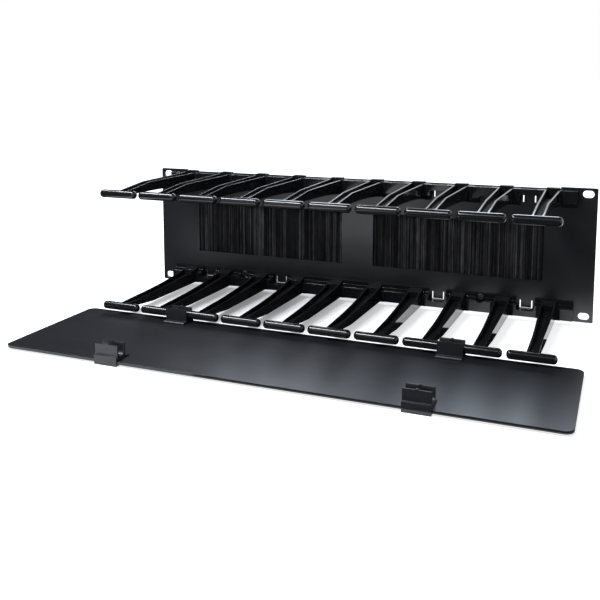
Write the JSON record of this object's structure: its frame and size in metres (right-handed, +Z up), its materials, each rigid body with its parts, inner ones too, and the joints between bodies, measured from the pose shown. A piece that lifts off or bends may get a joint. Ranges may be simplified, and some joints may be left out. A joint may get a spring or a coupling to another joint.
{
  "type": "horizontal cable manager",
  "caption": "Rack panel with two rows of T-ended cable fingers, brush windows and a flat cover that hinges on the lower finger bars and snaps on the upper ones.",
  "frame": {"origin": "centre of the rack hole pattern, on the rear face of the back panel, which meets the rack", "axes": "+X right as seen from the front, +Y back into the rack, +Z up; the fingers and the open cover reach toward -Y"},
  "size_m": [0.4826, 0.2804, 0.135],
  "materials": {
    "panel_steel": "satin",
    "cover_aluminium": "satin",
    "moulded_plastic": "gloss",
    "clip_plastic": "satin",
    "bristles": "matte",
    "black_fastener": "satin",
    "plated_fastener": "satin",
    "galvanised_steel": "satin"
  },
  "bodies": {
    "frame": {"back_panel": "panel_steel", "lower_finger_rail": "moulded_plastic", "upper_finger_rail": "moulded_plastic", "rail_screws": "black_fastener", "rail_nuts": "plated_fastener", "lower_finger_01": "moulded_plastic", "lower_finger_02": "moulded_plastic", "lower_finger_03": "moulded_plastic", "lower_finger_04": "moulded_plastic", "lower_finger_05": "moulded_plastic", "lower_finger_06": "moulded_plastic", "lower_finger_07": "moulded_plastic", "lower_finger_08": "moulded_plastic", "lower_finger_09": "moulded_plastic", "lower_finger_10": "moulded_plastic", "upper_finger_01": "moulded_plastic", "upper_finger_02": "moulded_plastic", "upper_finger_03": "moulded_plastic", "upper_finger_04": "moulded_plastic", "upper_finger_05": "moulded_plastic", "upper_finger_06": "moulded_plastic", "upper_finger_07": "moulded_plastic", "upper_finger_08": "moulded_plastic", "upper_finger_09": "moulded_plastic", "upper_finger_10": "moulded_plastic", "brush_bracket_left": "panel_steel", "brush_bracket_right": "panel_steel", "brush_channel_left": "galvanised_steel", "brush_channel_right": "galvanised_steel", "brush_core_wire_left": "galvanised_steel", "brush_core_wire_right": "galvanised_steel", "bristle_pack_left": "bristles", "bristle_pack_right": "bristles", "bracket_studs": "plated_fastener", "bracket_nuts": "plated_fastener"},
    "cover": {"cover_plate": "cover_aluminium", "hinge_clip_left": "clip_plastic", "hinge_clip_right": "clip_plastic", "latch_clip_left": "clip_plastic", "latch_clip_right": "clip_plastic"}
  },
  "joints": [
    {"name": "cover_hinge", "type": "hinge", "parent": "frame", "child": "cover", "pos_m": [0, -0.1508, -0.05705], "axis": [-1, 0, 0], "range_deg": [0, 90]}
  ]
}
